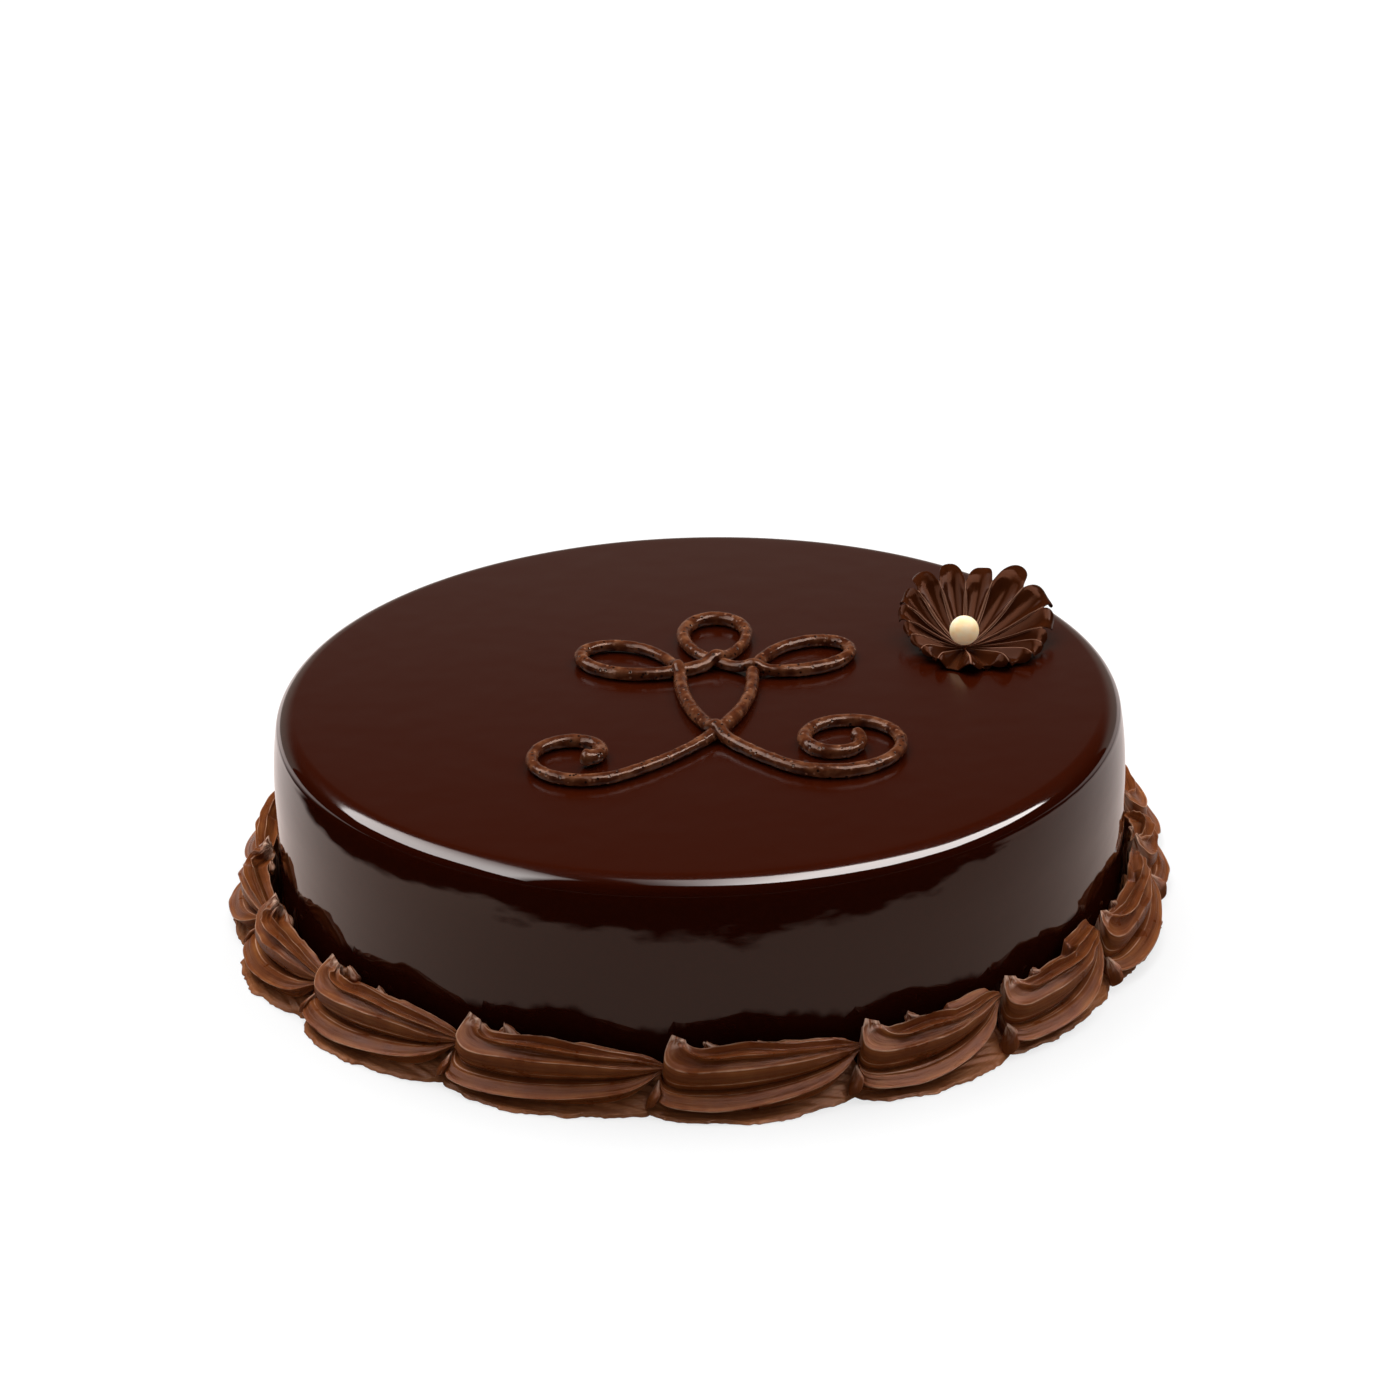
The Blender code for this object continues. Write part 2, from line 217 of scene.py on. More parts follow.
def addCamera():
    down, roll = math.radians(view["down"]), math.radians(view["roll"])
    ahead = np.array([0, math.cos(down), -math.sin(down)])
    side = np.array([1.0, 0, 0])
    above = np.cross(side, ahead)
    turnedSide = side * math.cos(roll) + above * math.sin(roll)
    turnedUp = above * math.cos(roll) - side * math.sin(roll)
    spot = -ahead * view["away"] + np.array([0, 0, view["aim"]])
    data = bpy.data.cameras.new("studioCamera")
    data.sensor_width = view["sensor"]
    data.lens = view["focal"] / view["pixels"] * view["sensor"]
    data.shift_x = (view["pixels"] / 2 - view["centreX"]) / view["pixels"]
    data.shift_y = (view["centreY"] - view["pixels"] / 2) / view["pixels"]
    data.clip_end = 20
    camera = bpy.data.objects.new("studioCamera", data)
    matrix = np.eye(4)
    matrix[:3] = np.stack([turnedSide, turnedUp, -ahead, spot], 1)
    camera.matrix_world = Matrix(matrix.tolist())
    scene.collection.objects.link(camera)
    scene.camera = camera


addCamera()
print("camera set")

# the chocolate cake under its mirror glaze, in mm
cake = {"radius": 101.3, "height": 52.3, "shoulder": 4.75, "leanStart": 33.0, "lean": 1.05,
        "around": 400, "topRings": 46, "shoulderRings": 40, "wallRings": 60,
        "shadedWallTone": "260903", "topTone": "2e0900"}


def glazeMaterial():
    # mirror glaze: cocoa, sugar and gelatine poured warm; it sets to a wet
    # gloss, a shade duller on the flat top where it was levelled
    mat, tree, shader = newMaterial("mirrorGlazePoured", IOR=1.4)
    where = addNode(tree, "TexCoord").outputs["Object"]
    height = addNode(tree, "SeparateXYZ", None, {0: where}).outputs["Z"]
    level = addNode(tree, "MapRange", {"From Min": 0.046, "From Max": 0.0522}, {"Value": height})
    # the wall is given a darker tone than the flat top: painted shade for the lesser light on the wall
    tones = {"data_type": "RGBA", 6: cake["shadedWallTone"], 7: cake["topTone"]}
    colour = addNode(tree, "Mix", tones, {0: level})
    dull = addNode(tree, "MapRange", {"From Min": 0.0505, "From Max": 0.0523, "To Min": 0.045,
                                      "To Max": 0.18}, {"Value": height})
    # the slack of a poured film: ripples 9 mm long and 4 mm high
    lie = addNode(tree, "Mapping", {"Scale": (1.0, 1.0, 2.2)}, {"Vector": where})
    ripple = addNode(tree, "TexNoise", {"Scale": 110.0, "Detail": 1.0}, {"Vector": lie})
    lift = addNode(tree, "Bump", {"Strength": 0.35, "Distance": 0.00012}, {"Height": ripple})
    plug(tree, shader, {"Base Color": colour.outputs[2], "Roughness": dull, "Normal": lift})
    return mat


def cakeBody():
    # a profile turned about Z: flat top, a quarter round, a wall that leans in
    # by a millimetre towards the top, and a flat base; its radius wavers by a
    # twentieth of one
    top, wide, bend = cake["height"], cake["radius"], cake["shoulder"]
    rim = wide - cake["lean"] - bend
    turn = np.radians(np.linspace(90, 5, cake["shoulderRings"]))
    shoulderR, shoulderZ = rim + bend * np.cos(turn), top - bend * (1 - np.sin(turn))
    down = np.linspace(shoulderZ[-1], 0.6, cake["wallRings"])[1:]
    leaning = np.clip((down - cake["leanStart"]) / (shoulderZ[-1] - cake["leanStart"]), 0, 1) ** 2.2
    r = np.concatenate([np.linspace(1.2, rim, cake["topRings"], endpoint=False), shoulderR,
                        wide - (wide - shoulderR[-1]) * leaning, [wide - 0.5, 60.0, 2.0]])
    z = np.concatenate([np.full(cake["topRings"], top), shoulderZ, down, [0.0, 0.0, 0.0]])
    theta = circle(cake["around"])
    grow = 0.1 * (roughField(theta / (2 * np.pi) * 16, 0 * theta, 3, 16) - 0.5)
    ring, angle = np.meshgrid(r, theta, indexing="ij")
    ring = ring + grow * np.clip(ring / wide, 0, 1) ** 6
    return turned(ring, angle, z[:, None])


glaze = glazeMaterial()
fit(makePiece("glazedCake", [loftBody(cakeBody())], glaze), "mirror_glaze", "cake")
print("glazed body made")

# the piped ganache border
border = {
    # degrees of each shell's head, its girth and height against the table,
    # how far its tail is lifted and the height of the fin behind it in mm,
    # and the foot's radius
    "heads": [179.3, 196.0, 215.6, 239.8, 265.9, 289.8, 310.4, 331.8,
              355.6, 370.2, 395.2, 418.6, 443.4, 467.1, 491.9, 515.2],
    "fat": [1.00, 1.02, 1.04, 1.02, 1.00, 0.99, 0.93, 0.88,
            0.87, 1.18, 0.96, 1.00, 0.95, 1.03, 0.94, 1.10],
    "lift": [1.00, 0.98, 1.00, 0.99, 1.02, 1.00, 0.99, 1.01,
             0.95, 0.88, 0.97, 1.01, 1.04, 0.98, 1.01, 0.86],
    "tailUp": [0.0, 0.0, 0.0, 0.0, 0.8, 2.6, 2.6, 1.2,
               0.0, 0.0, 0.8, 0.0, 1.4, 0.6, 0.0, 0.9],
    "fin": [0.3, 0.4, 0.5, 0.4, 0.5, 1.2, 3.4, 3.2,
            0.6, 0.4, 1.4, 0.3, 0.8, 2.0, 0.5, 1.0],
    "foot": [114.4, 115.8, 116.2, 115.8, 115.4, 115.4, 112.7, 112.2,
             112.3, 115.6, 113.2, 114.8, 113.4, 115.1, 113.2, 115.0],
    # how far the foot reaches beyond the wall before each head
    "join": [10.0, 9.6, 9.0, 8.8, 9.6, 7.8, 8.5, 7.8,
             9.0, 9.4, 9.8, 9.2, 10.2, 9.5, 9.0, 9.9],
    "pitch": 43.0, "rings": 150}
crest = {   # eight lines: run along the wall, reach out of it, height; the
    # sixth is the deep crease between the main ridge and the belly
    "at": [0.0, 0.08, 0.18, 0.30, 0.46, 0.63, 0.81, 1.0],
    "run": [[1.2, 2.4, 4.2, 8.0, 14.0, 22.0, 31.5, 39.5],
            [1.8, 3.0, 5.2, 9.2, 16.0, 24.0, 33.0, 40.3],
            [3.0, 3.8, 6.0, 9.8, 17.0, 25.2, 34.0, 40.9],
            [2.9, 3.2, 4.8, 9.0, 16.5, 25.2, 34.0, 41.2],
            [-0.2, -1.4, -1.5, 2.0, 12.0, 23.2, 33.5, 41.2],
            [-0.4, -1.9, -2.4, 0.2, 10.0, 22.0, 33.2, 41.1],
            [-0.7, -2.4, -3.2, -1.6, 7.5, 20.7, 33.0, 40.9],
            [-0.5, -2.2, -3.0, -1.6, 7.5, 20.7, 32.3, 40.3]],
    "out": [[0.6, 0.4, 0.3, 0.3, 0.3, 0.3, 0.6, 2.2],
            [1.4, 1.5, 2.0, 2.6, 3.0, 2.8, 2.6, 3.2],
            [3.0, 4.0, 5.0, 6.0, 6.6, 6.0, 5.0, 4.4],
            [3.4, 5.0, 7.0, 8.0, 8.4, 7.8, 6.5, 5.0],
            [3.0, 4.2, 6.4, 8.4, 9.3, 8.7, 7.0, 5.2],
            [2.4, 3.2, 4.6, 6.6, 7.4, 7.1, 6.2, 4.9],
            [2.2, 4.0, 7.6, 10.6, 12.4, 12.1, 9.8, 5.2],
            [1.9, 3.2, 5.8, 8.2, 9.6, 9.6, 8.0, 4.7]],
    "up": [[11.0, 6.0, 2.4, 1.45, 1.45, 1.45, 2.4, 7.8],
            [13.6, 12.9, 12.4, 12.8, 13.6, 12.9, 11.6, 10.2],
            [14.6, 14.0, 13.9, 14.7, 15.8, 14.4, 12.4, 10.45],
            [15.6, 14.7, 13.7, 13.5, 14.3, 13.6, 12.0, 10.2],
            [16.7, 14.7, 12.2, 10.7, 11.1, 11.4, 10.7, 9.8],
            [14.6, 10.2, 6.9, 5.5, 5.3, 6.2, 7.5, 9.4],
            [14.0, 8.4, 4.9, 3.3, 2.9, 3.9, 5.8, 9.1],
            [12.6, 5.2, 1.6, 1.45, 1.45, 1.45, 2.8, 8.3]],
    # from each line to the next: points, depth of the flute (less than nothing
    # swells), where it is deepest, powers before and after, girth in mm
    "flutes": [(12, 0.3, 0.5, 1.0, 1.0, 9.0), (18, 1.0, 0.45, 0.9, 1.1, 4.0),
               (22, 1.5, 0.36, 0.7, 1.3, 4.0), (30, 2.1, 0.36, 0.7, 1.35, 4.0),
               (26, -1.1, 0.38, 0.7, 1.1, 6.0), (28, -0.9, 0.5, 0.8, 0.9, 6.0),
               (10, 0.3, 0.5, 1.0, 1.0, 4.0), (8, 0.0, 0.5, 1.0, 1.0, 8.0)],
    "lip": [0.0, 0.35, 0.5, 0.55, 0.6, 0.0, 0.3, 0.0]}


def ganacheMaterial(name, tones, ridged, shine):
    # whipped ganache squeezed through a star nozzle: fat and air give a soft
    # satin skin, drawn into fine lines along the stroke, with burst bubbles
    mat, tree, shader = newMaterial(name, Roughness=0.45, IOR=1.4, Specular_IOR_Level=shine)
    where = addNode(tree, "TexCoord").outputs["Object"]
    grain = addNode(tree, "UVMap", {"uv_map": "grain"}).outputs["UV"]
    drawn = addNode(tree, "Mapping", {"Scale": (0.10, 2.2, 1.0)}, {"Vector": grain})
    fine = addNode(tree, "TexNoise", {"Scale": 1.0, "Detail": 4.0, "Roughness": 0.6}, {"Vector": drawn})
    patch = addNode(tree, "TexNoise", {"Scale": 160.0, "Detail": 3.0}, {"Vector": where})
    both = addNode(tree, "Mix", {"data_type": "FLOAT", 0: 0.45}, {2: fine, 3: patch})
    colour = addNode(tree, "ValToRGB", {"stops": list(zip((0.3, 0.5, 0.72), tones))}, {0: both})
    # the lips of the ridges, one step past each multiple of four across the
    # stroke, get a thin paler line, a painted highlight; the flutes between are painted darker, painted
    # shade in the hollows
    along = addNode(tree, "SeparateXYZ", None, {0: grain})
    shifted = addNode(tree, "Math", {"operation": "ADD", 1: 3.0}, {0: along.outputs["Y"]})
    toLip = addNode(tree, "Math", {"operation": "PINGPONG", 1: 2.0}, {0: shifted})
    hollowShade = addNode(tree, "MapRange", smooth | {"From Min": 0.3, "From Max": 1.9, "To Max": 0.5 * ridged},
                     {"Value": toLip})
    hollowShaded = addNode(tree, "Mix", {"data_type": "RGBA", 7: "3f1a05"}, {0: hollowShade, 6: colour})
    broken = addNode(tree, "MapRange", {"From Min": 0.35, "From Max": 0.6, "To Max": 0.95 * ridged},
                     {"Value": patch})
    lipLine = addNode(tree, "MapRange", {"From Min": 0.05, "From Max": 0.22, "To Min": 1.0, "To Max": 0.0},
                      {"Value": toLip})
    lipHighlight = addNode(tree, "Math", {"operation": "MULTIPLY"}, {0: lipLine, 1: broken})
    lipped = addNode(tree, "Mix", {"data_type": "RGBA", 7: "bd9074"}, {0: lipHighlight, 6: hollowShaded.outputs[2]})
    # paler hairs in the pulled tip's first five millimetres
    tip = addNode(tree, "MapRange", {"From Min": 0.8, "From Max": 5.0, "To Min": 1.0, "To Max": 0.0},
                  {"Value": along.outputs["X"]})
    pulled = addNode(tree, "Mapping", {"Scale": (0.2, 0.6, 1.0)}, {"Vector": grain})
    strand = addNode(tree, "TexNoise", {"Scale": 1.0, "Detail": 3.0}, {"Vector": pulled})
    hairs = addNode(tree, "MapRange", {"From Min": 0.42, "From Max": 0.56, "To Max": ridged},
                    {"Value": strand})
    pale = addNode(tree, "Math", {"operation": "MULTIPLY"}, {0: tip, 1: hairs})
    paint = addNode(tree, "Mix", {"data_type": "RGBA", 7: "c7a28c"}, {0: pale, 6: lipped.outputs[2]})
    gloss = addNode(tree, "MapRange", {"From Min": 0.3, "From Max": 0.7, "To Min": 0.25,
                                       "To Max": 0.38}, {"Value": patch})
    lift = addNode(tree, "Bump", {"Strength": 0.5, "Distance": 0.0003}, {"Height": fine})
    pit = addNode(tree, "TexVoronoi", {"Scale": 420.0}, {"Vector": where})
    dent = addNode(tree, "MapRange", {"From Min": 0.06, "From Max": 0.14}, {"Value": pit})
    dig = addNode(tree, "Bump", {"Strength": 0.25, "Distance": 0.0002}, {"Height": dent, "Normal": lift})
    plug(tree, shader, {"Base Color": paint.outputs[2], "Roughness": gloss, "Normal": dig})
    return mat


ganache = ganacheMaterial("whippedGanachePiped", ("5a2912", "743d1c", "8d562c"), 1.0, 0.08)
# the foot's tones are lighter than the piped cream's: partly the smear's own paler film, partly painted
# light that makes up for its dim bounce
smear = ganacheMaterial("whippedGanacheSmeared", ("6b3921", "865130", "a16d4b"), 0.0, 0.05)
wall = cake["radius"]
strokeRadius = wall + 4.0    # where a stroke's run is measured


def wrapRound(head, a, b, c):
    # a along the wall from the head, b out of it, c up, as x y z
    return turned(wall + b, np.radians(head) + a / strokeRadius, c)


def shellGrid(index, pitch):
    # a loft through the crest lines, which start together at the head's tip
    # and meet again at the tail; between crests the skin sags into flutes,
    # along them it stands up in a thin lip, and fine lines run with them
    fat, lift, fin, tailUp = (border[k][index] for k in ("fat", "lift", "fin", "tailUp"))
    seed = 40 + index
    u = np.linspace(0, 1, border["rings"]) ** 1.12

    def slow(k, rate):
        return roughField(u * rate, np.full_like(u, k * 3.7), seed) - 0.5

    lines = []
    for k, (run, out, up) in enumerate(zip(crest["run"], crest["out"], crest["up"])):
        a, b, c = (eased(crest["at"], row, u) for row in (run, out, up))
        a = a + (pitch - border["pitch"]) * np.clip((a - 3.0) / 35.0, 0, 1)
        b = 0.3 + (b - 0.3) * fat
        c = 1.45 + (c - 1.45) * lift + tailUp * easeStep(0.55, 1.0, u)
        b = b - 0.6 * tailUp * easeStep(0.55, 1.0, u) * (b > 1.5)
        if k in (1, 2):
            cut = easeStep(0.60, 0.64, u) * (1 - easeStep(0.93, 1.0, u))
            c = c + fin * cut * (1.0 if k == 1 else 0.35)
        if k in (1, 2, 3, 4, 6):
            b = b + 0.5 * slow(k, 7) * np.sin(np.pi * u)
            c = c + 0.6 * slow(k + 20, 6) * np.sin(np.pi * u) ** 0.5
        lines.append(np.stack([a, np.maximum(b, 0.1), np.maximum(c, 1.2)], -1))
    lines = np.stack(lines)
    span = np.roll(lines, -1, 0) - lines
    inward = np.stack([0 * span[..., 0], span[..., 2], -span[..., 1]], -1)
    length = np.maximum(np.linalg.norm(inward, axis=-1, keepdims=True), 1e-6)
    inward /= length
    outward = -(inward + np.roll(inward, 1, 0))            # off each line
    outward /= np.maximum(np.linalg.norm(outward, axis=-1, keepdims=True), 1e-6)
    fade = (np.clip(u / 0.14, 0, 1) * np.clip((1 - u) / 0.22, 0.12, 1))[:, None]
    sheet = np.clip((1 - u) / 0.2, 0.25, 1)
    loops, across, total = [], [], 0.0
    for k, (cuts, depth, deepest, before, after, girth) in enumerate(crest["flutes"]):
        following = (k + 1) % len(lines)
        for w in np.arange(cuts) / cuts:
            shape = (w / deepest) ** before if w < deepest else ((1 - w) / (1 - deepest)) ** after
            dip = np.sign(depth) * np.minimum(abs(depth) * fade, 0.42 * length[k]) * shape
            v = total + w * girth
            crumb = 0.45 + roughField(u * 14, 0 * u + v, seed + 9)
            lip = sum((crest["lip"][m] * crumb * np.exp(-(away * length[k, :, 0] / 0.3) ** 2))[:, None]
                      * outward[m] for m, away in ((k, w), (following, 1 - w)))
            drawn = (0.26 * (roughField(0 * u + v / 0.95, u * 4, seed + 1) - 0.5)
                     + 0.16 * (roughField(0 * u + v / 0.42, u * 6, seed + 2) - 0.5))
            drawn = drawn * (0.3 if k in (0, 7) else 1.0) * sheet
            loops.append(lines[k] + span[k] * w + inward[k] * (dip - drawn[:, None])
                         + lip * np.clip(2 * fade, 0, 1))
            across.append(v)
        total += girth
    across.append(total)
    grid = np.stack(loops, 1)
    grid[..., 1] = np.maximum(grid[..., 1], 0.05)
    grid[..., 2] = np.maximum(grid[..., 2], 1.0)
    return wrapRound(border["heads"][index], grid[..., 0], grid[..., 1], grid[..., 2]), across, u * pitch


def nubGrid(head, spot, size, seed):
    # a crumb of cream pulled to a bent point: an egg r (1 + noise) over its
    # two angles, drawn up and aside as it nears its tip
    t, p = np.meshgrid(np.linspace(0.06, np.pi - 0.06, 26), circle(32), indexing="ij")
    r = 1 + 0.75 * (roughField(p / (2 * np.pi) * 6, t * 1.9, seed, 6) - 0.5)
    tip = np.clip(np.cos(t), 0, 1) ** 3
    a = spot[0] + size[0] * (r * np.sin(t) * np.cos(p) * (1 - 0.35 * tip) - 0.5 * tip)
    b = np.maximum(spot[1] + size[1] * r * np.sin(t) * np.sin(p) * (1 - 0.35 * tip), 0.05)
    return wrapRound(head, a, b, spot[2] + size[2] * (r * np.cos(t) + 0.5 * tip))


def flapGrid(head, pitch, seed):
    # the torn end of a stroke: a tongue that widens down the next head's flank
    draw = np.random.default_rng(seed)
    t = np.linspace(0, 1, 30)
    a = pitch - 2.9 - 1.5 * t + draw.uniform(-0.5, 0.4)
    b = 6.0 + 3.3 * t ** 0.85 + draw.uniform(-0.4, 0.3)
    c = 6.9 - 5.0 * t ** 1.15 + draw.uniform(-0.5, 0.4)
    wide = (0.3 + 1.8 * np.sin(np.pi * np.clip(t * 0.72 + 0.02, 0, 1)) ** 1.6) * draw.uniform(0.85, 1.15)
    p = circle(28)
    along, roundAt = np.meshgrid(t * 3, p / (2 * np.pi) * 5, indexing="ij")
    lump = 1 + 0.5 * (roughField(roundAt, along, seed, 5) - 0.5)
    lobe = 0.75 * np.sin(p)[None, :] * wide[:, None] * lump
    spanWise = np.cos(p)[None, :] * wide[:, None] * lump
    return wrapRound(head, a[:, None] + 0.7 * spanWise, b[:, None] + lobe + 0.3 * spanWise,
                     np.maximum(c[:, None] + 0.5 * spanWise + 0.3 * lobe, 0.9))


nubs = [   # for each shell the crumbs behind it, as along, out, up, size
    [(9, 2.0, 12.2, 1.3)], [(8, 2.1, 12.4, 1.5)], [(6.5, 2.1, 13.0, 1.6), (17, 2.0, 12.2, 1.3)],
    [(9.5, 2.1, 12.6, 1.6)], [(8.5, 2.0, 12.6, 1.4), (20, 2.0, 12.4, 1.3)], [(12, 2.1, 13.2, 1.5)],
    [(11, 2.0, 12.4, 1.4)], [(10.5, 2.0, 12.6, 1.5)], [(8, 2.1, 12.0, 1.6)], [(7, 2.0, 11.8, 1.5)],
    [(9, 2.0, 12.2, 1.5)], [(7, 2.0, 12.0, 1.3), (15, 2.0, 12.6, 1.4)], [(10, 2.0, 12.6, 1.4)],
    [(8, 2.0, 12.0, 1.5)], [(11, 2.0, 12.4, 1.4)], [(9, 2.0, 11.0, 1.5)]]

heads = border["heads"]
for index, head in enumerate(heads):
    following = heads[(index + 1) % len(heads)] + (360 if index + 1 == len(heads) else 0)
    pitch = math.radians(following - head) * strokeRadius
    grid, across, along = shellGrid(index, pitch)
    bodies = [loftBody(grid, across, along)]
    for k, (a, b, c, size) in enumerate(nubs[index]):
        nub = nubGrid(head, (a, b, c), (size * 1.5, size * 0.7, size * 0.9), 300 + index * 7 + k)
        bodies.append(loftBody(nub))
    bodies.append(loftBody(flapGrid(head, pitch, 500 + index)))
    piece = makePiece(f"creamShell{index + 1:02d}", bodies, ganache)
    fit(piece, "whipped_ganache", f"shell_{index + 1:02d}")
print("sixteen shells made")


def placeInShells(theta):
    # for each angle the shell it lies in, how far along, and the next shell
    angles = np.radians(np.array(heads) % 360)
    rank = np.argsort(angles)
    order = angles[rank]
    before = np.searchsorted(order, theta, side="right") - 1
    start = np.where(before < 0, order[before] - 2 * np.pi, order[before])
    stop = order[(before + 1) % len(order)] + np.where(before + 1 >= len(order), 2 * np.pi, 0)
    return rank[before], (theta - start) / (stop - start), rank[(before + 1) % len(order)]


def footGrid():
    # the skirt that the strokes leave round the foot: thin under each belly,
    # banked up under each tail, drawn into streaks, torn along its edge
    count, deep = 2300, 30
    theta = circle(count)
    here, share, following = placeInShells(theta)
    # the foot belongs to the next shell a tenth before its head
    early = share > 0.9
    here, share = np.where(early, following, here), np.where(early, share - 0.9, share + 0.1)
    following = placeInShells((theta + 0.12 * early) % (2 * np.pi))[2]
    join = np.array(border["join"])
    level = join[here] + (join[following] - join[here]) * share
    belly = np.array(border["foot"])[here] - wall - (join[here] + join[following]) / 2
    turn = theta / (2 * np.pi)
    torn = sum(size * (roughField(turn * cells, 0 * theta, seed, cells) - 0.5)
               for size, cells, seed in ((1.2, 56, 72), (1.2, 150, 71), (0.75, 255, 70)))
    crumb = roughField(turn * 256 * 2.7, 0 * theta, 69) - 0.5
    edge = level + belly * np.sin(np.pi * share ** 0.85) ** 0.7 - 0.7
    torn = torn + 0.5 * crumb
    bank = 5.4 * np.where(share > 0.3, easeStep(0.42, 0.93, share), 1 - easeStep(0.02, 0.12, share))
    q = np.linspace(0, 1, deep)[None, :] ** 0.75
    b = 0.1 + (edge[:, None] - 0.1) * q + torn[:, None] * q ** 9
    slope = 1 - q
    # strokes sweep outwards as they run on, so the lines slant across the foot
    lane = b - 5.0 * share[:, None]
    streak = (0.5 * (roughField(share[:, None] * 1.2 + 0 * q, lane * 0.9 + 40, 73) - 0.5)
              + 0.45 * (roughField(share[:, None] * 2.0 + 0 * q, lane * 2.2 + 40, 74) - 0.5)
              + 0.3 * (roughField(share[:, None] * 3.0 + 0 * q, lane * 5.0 + 60, 75) - 0.5))
    away = (1 - q ** 2) * 6.0
    fall = np.sqrt(np.clip(1 - (1 - away / 0.7).clip(0, 1) ** 2, 0, 1))
    top = (0.62 + 0.55 * np.clip(away / 3.5, 0, 1) + bank[:, None] * slope ** 1.2
           + streak * (0.5 + 1.1 * slope)) * fall
    top = np.maximum(top, 0.1)
    lower = np.linspace(0.999, 0, 4)[None, :] * b[:, -1:] + 0.1
    upper = np.stack([b, top], -1)
    loop = np.concatenate([upper, np.stack([lower, 0 * lower], -1)], 1)
    grid = turned(wall + loop[..., 0], theta[:, None], loop[..., 1])
    return grid, theta * wall, np.concatenate([q[0] * 12, [12.5, 16, 20, 24], [24.5]])


grid, along, across = footGrid()
quads, places = gridFaces(len(grid), grid.shape[1], closedRows=True)
alongAt = np.append(along, 2 * np.pi * wall)
grain = np.stack([alongAt[places[..., 0]], across[places[..., 1]]], -1)
noFans, noGrain = np.zeros((0, 3), int), np.zeros((0, 3, 2))
foot = makePiece("creamFoot", [(grid.reshape(-1, 3), quads, noFans, grain, noGrain)], smear)
fit(foot, "whipped_ganache", "cream_foot")
print("foot made")

# the piped scroll, in mm
scroll = {"width": 3.5, "step": 0.42, "sides": 26, "pits": 420}


def gelMaterial():
    # cocoa gel piped on the set glaze: it dries to a shiny skin, paler than the
    # glaze, peppered with half-millimetre bubbles, painted dark inside as painted shade
    mat, tree, shader = newMaterial("cocoaGelPiped", Roughness=0.13, IOR=1.42, Specular_IOR_Level=0.16,
                                    Specular_Tint=(1.0, 0.8, 0.68, 1.0))
    where = addNode(tree, "TexCoord").outputs["Object"]
    patch = addNode(tree, "TexNoise", {"Scale": 330.0, "Detail": 3.0}, {"Vector": where})
    colour = addNode(tree, "ValToRGB", {"stops": [(0.32, "3a190d"), (0.5, "512916"), (0.7, "70452d")]},
                     {0: patch})
    bubble = addNode(tree, "TexVoronoi", {"Scale": 620.0}, {"Vector": where})
    # painted shade: the bubbles' pits are darkened
    dark = addNode(tree, "MapRange", {"From Min": 0.14, "From Max": 0.26}, {"Value": bubble})
    paint = addNode(tree, "Mix", {"data_type": "RGBA", 6: "1f0c06"}, {0: dark, 7: colour})
    # pale specks, paler than the skin
    speckCells = addNode(tree, "TexVoronoi", {"Scale": 480.0}, {"Vector": where})
    fleck = addNode(tree, "MapRange", {"From Min": 0.12, "From Max": 0.2, "To Min": 0.7, "To Max": 0.0},
                    {"Value": speckCells})
    flecked = addNode(tree, "Mix", {"data_type": "RGBA", 7: "8c6049"}, {0: fleck, 6: paint.outputs[2]})
    lift = addNode(tree, "Bump", {"Strength": 0.5, "Distance": 0.00018}, {"Height": dark})
    skin = addNode(tree, "Bump", {"Strength": 0.75, "Distance": 0.0002}, {"Height": patch, "Normal": lift})
    plug(tree, shader, {"Base Color": flecked.outputs[2], "Normal": skin})
    return mat


def scrollLine():
    # three small loops, x = 4.5 + 22.5 (cos t - 0.62 cos 5t) and
    # y = 4 + 22.5 (sin t + 0.62 sin 5t), led out into two spiral ends
    def bend(a, b, c, d):
        t = np.linspace(0, 1, 60)[:, None]
        return (1 - t)**3 * a + 3 * (1 - t)**2 * t * b + 3 * (1 - t) * t * t * c + t**3 * d

    def curl(centre, outer, inner, start, sweep):
        u = np.linspace(0, 1, 160)
        angle = np.radians(start + sweep * u)
        r = outer + (inner - outer) * u ** 0.85
        return np.stack([centre[0] + r * np.cos(angle), centre[1] + r * np.sin(angle)], 1)

    def unit(v):
        return v / np.hypot(*v)

    t = np.radians(np.linspace(0, 180, 361))
    knot = np.stack([4.5 + 22.5 * (np.cos(t) - 0.62 * np.cos(5 * t)),
                     4.0 + 22.5 * (np.sin(t) + 0.62 * np.sin(5 * t))], 1)
    right = curl((33.0, -32.0), 18.5, 3.0, 215.0, 545.0)
    left = curl((-28.0, -36.5), 15.5, 3.0, -40.0, -400.0)
    go, leave = unit(knot[1] - knot[0]), unit(knot[-1] - knot[-2])
    downRight = bend(knot[-1], knot[-1] + leave * 22, right[0] - unit(right[1] - right[0]) * 14, right[0])
    downLeft = bend(left[0], left[0] - unit(left[1] - left[0]) * 22, knot[0] - go * 20, knot[0])
    line = np.vstack([left[::-1], downLeft[1:], knot[1:], downRight[1:], right[1:]])
    run = np.concatenate([[0], np.cumsum(np.hypot(*np.diff(line, axis=0).T))])
    even = np.linspace(0, run[-1], int(run[-1] / scroll["step"]))
    return np.stack([np.interp(even, run, line[:, 0]), np.interp(even, run, line[:, 1])], 1), even


